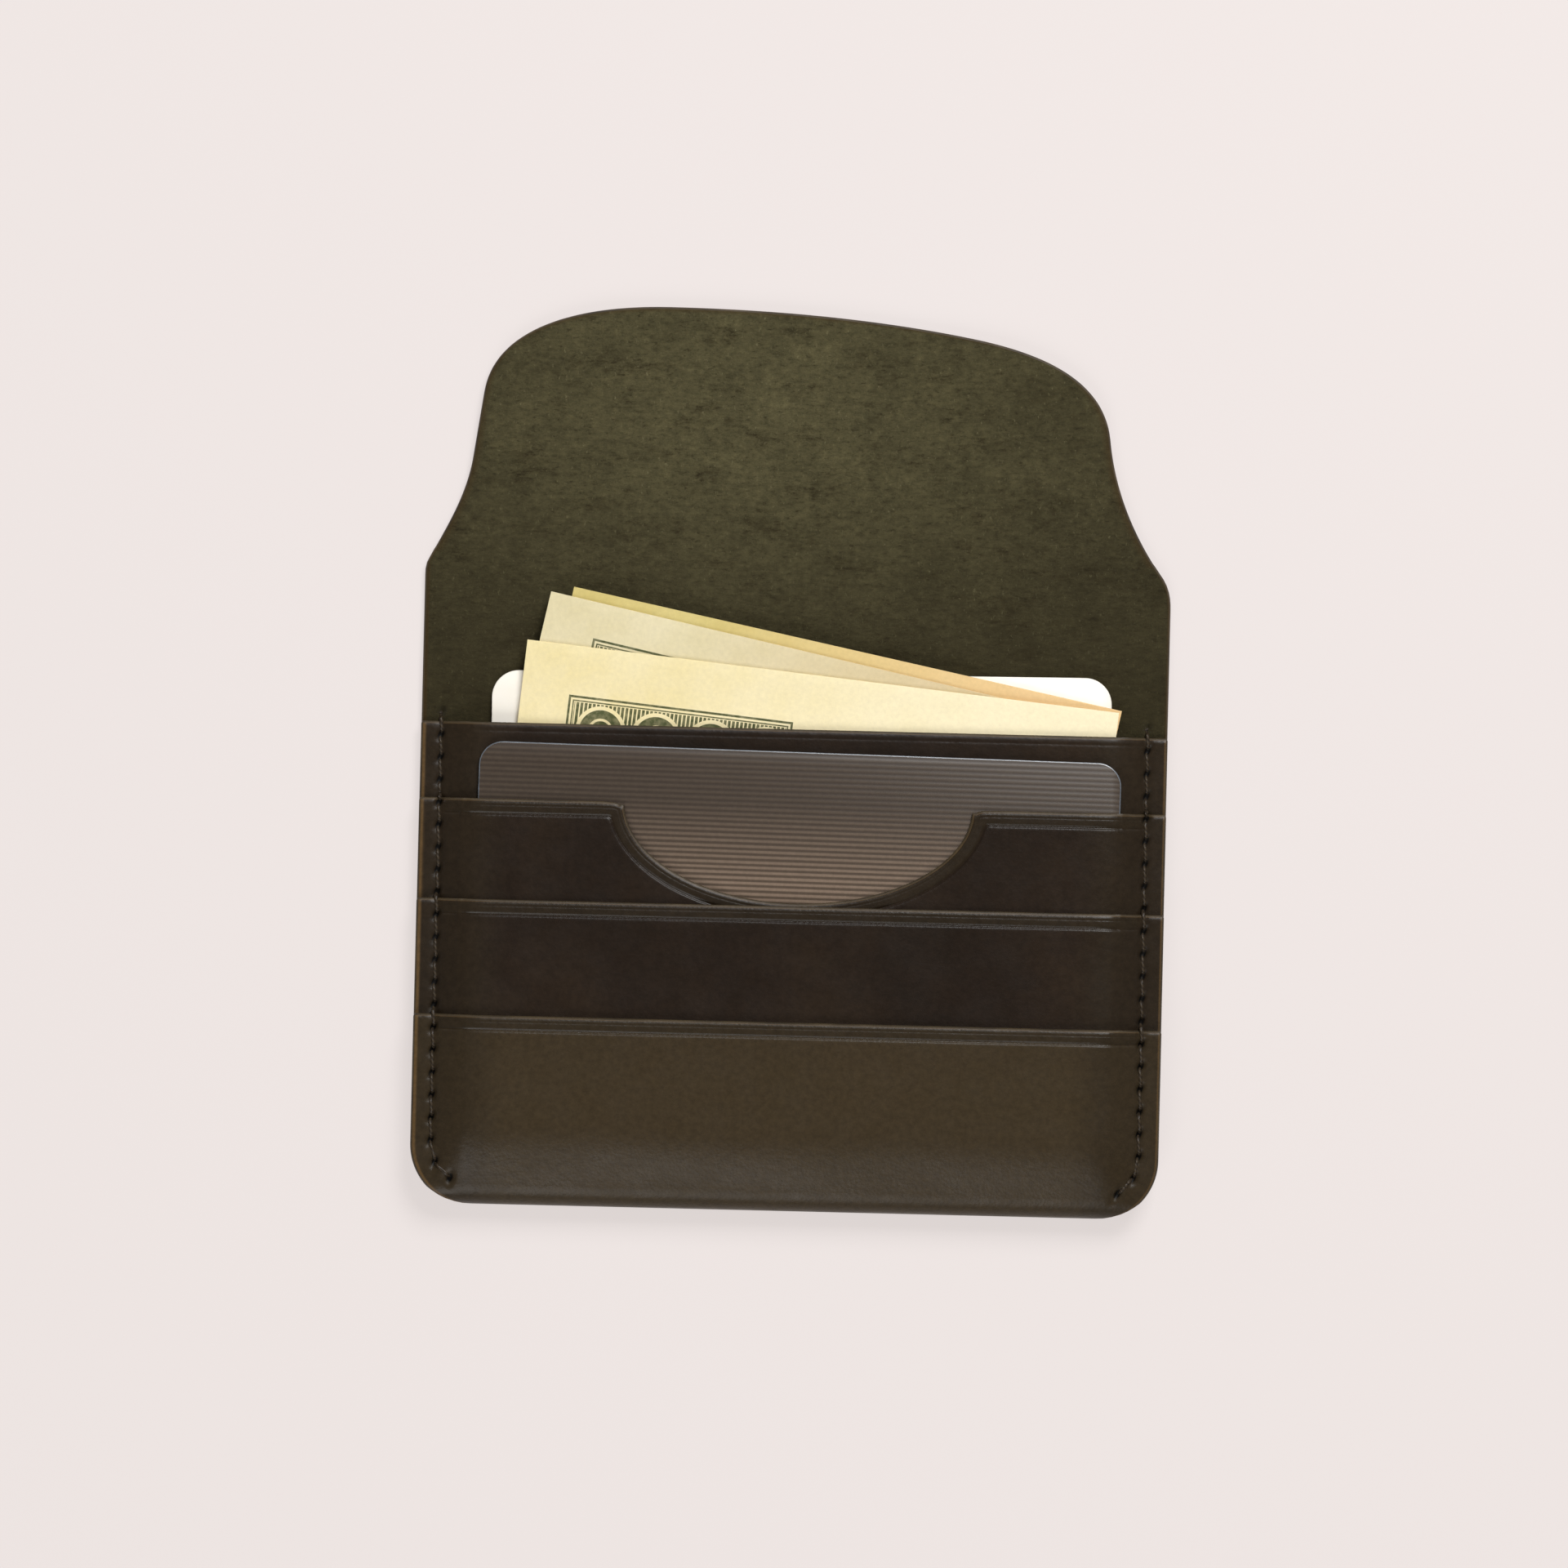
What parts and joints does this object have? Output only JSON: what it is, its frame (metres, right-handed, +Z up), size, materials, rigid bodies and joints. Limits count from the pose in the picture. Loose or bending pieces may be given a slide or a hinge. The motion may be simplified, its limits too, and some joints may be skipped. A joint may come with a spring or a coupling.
{
  "type": "flap card holder",
  "caption": "Leather card holder lying open: a rounded flap above stacked pockets with a thumb notch, cards and folded banknotes inside.",
  "frame": {"origin": "middle of the bounding box's underside, with the holder lying open on its back", "axes": "+X to the right across the pockets, +Y from the bottom fold to the flap's edge, +Z up out of the pockets' front"},
  "size_m": [0.0996, 0.1204, 0.0075],
  "materials": {
    "leather": "satin",
    "thread": "waxed",
    "dark_card": "satin",
    "white_card": "satin",
    "banknote": "matte"
  },
  "bodies": {
    "holder": {"back_and_front_pocket": "leather", "rear_pocket_panel": "leather", "thumb_notch_panel": "leather", "middle_pocket_panel": "leather", "stitching_left": "thread", "stitching_right": "thread", "dark_card": "dark_card", "white_card": "white_card", "banknote_back": "banknote", "banknote_middle": "banknote", "banknote_front": "banknote"},
    "fold_strip": {"flap_fold_strip": "leather"},
    "flap": {"flap": "leather"}
  },
  "joints": [
    {"name": "back_crease", "type": "hinge", "parent": "holder", "child": "fold_strip", "pos_m": [0, 0.02425, 0.0012], "axis": [1, 0, 0], "range_deg": [0, 90]},
    {"name": "flap_crease", "type": "hinge", "parent": "fold_strip", "child": "flap", "pos_m": [0, 0.02938, 0.0012], "axis": [1, 0, 0], "range_deg": [0, 90]}
  ]
}
